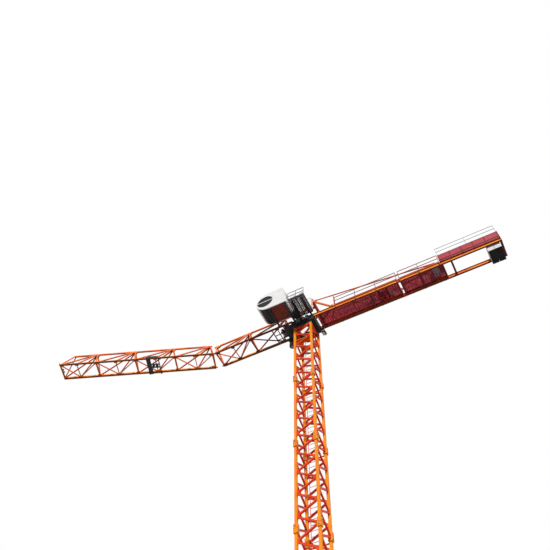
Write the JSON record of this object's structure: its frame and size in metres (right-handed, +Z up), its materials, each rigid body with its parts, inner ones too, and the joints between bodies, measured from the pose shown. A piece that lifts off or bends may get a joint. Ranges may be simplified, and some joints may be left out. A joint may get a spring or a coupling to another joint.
{
  "type": "tower crane",
  "caption": "Flat-topped tower crane with lattice mast, side cab, triangular jib that folds at its splice, trolley and ballasted counter-jib.",
  "frame": {"origin": "centre of the cross base's underside, on the mast's axis", "axes": "+Z up along the mast, -X along the jib, +X along the counter-jib, -Y to the cab's side"},
  "size_m": [30.925, 6.7283, 33.39],
  "materials": {
    "orange_steel": "weathered gloss paint",
    "red_steel": "weathered gloss paint",
    "dark_steel": "satin paint",
    "grey_steel": "satin paint",
    "white_panel": "gloss paint",
    "cab_glass": "dark tinted",
    "concrete": "cast concrete"
  },
  "bodies": {
    "mast": {"base_frame": "orange_steel", "base_struts": "orange_steel", "mast_side_near": "orange_steel", "mast_side_counter": "orange_steel", "mast_side_far": "orange_steel", "mast_side_jib": "orange_steel", "top_landing": "red_steel", "mast_head": "dark_steel", "fixed_race": "grey_steel"},
    "upper": {"turning_race": "grey_steel", "turntable": "dark_steel", "slewing_motor": "dark_steel", "flood_lamp": "dark_steel", "jib_side_near": "orange_steel", "jib_side_far": "orange_steel", "jib_bottom_bracing": "red_steel", "jib_top_chord": "orange_steel", "splice_pin": "grey_steel", "trolley_winch": "dark_steel", "tower_head": "orange_steel", "counter_beam_near": "orange_steel", "counter_beam_far": "orange_steel", "counter_cross_beams": "red_steel", "deck_inner": "red_steel", "deck_outer": "red_steel", "counter_ties": "orange_steel", "handrails": "grey_steel", "winch": "dark_steel", "motor_housing": "grey_steel", "parapet_panel": "red_steel", "ballast_slabs": "concrete", "cab_side_near": "white_panel", "cab_side_far": "white_panel", "cab_body": "white_panel", "cab_front_glass": "cab_glass", "cab_side_glass": "cab_glass", "cab_platform": "dark_steel", "platform_rail": "grey_steel", "control_cabinets": "white_panel"},
    "outer_jib": {"outer_side_near": "orange_steel", "outer_side_far": "orange_steel", "outer_bottom_bracing": "red_steel", "outer_top_chord": "orange_steel"},
    "trolley": {"trolley_frame": "dark_steel", "trolley_wheels": "grey_steel"}
  },
  "joints": [
    {"name": "slewing", "type": "hinge", "parent": "mast", "child": "upper", "pos_m": [0, 0, 30.66], "axis": [0, 0, 1], "continuous": true},
    {"name": "jib_swing", "type": "hinge", "parent": "upper", "child": "outer_jib", "pos_m": [-6.75, -0.59, 31.326], "axis": [0, 0, 1], "range_deg": [-21, 24]},
    {"name": "trolley_travel", "type": "slide", "parent": "outer_jib", "child": "trolley", "axis": [-0.9336, -0.3584, 0], "range_m": [-3.7, 6.1]}
  ]
}
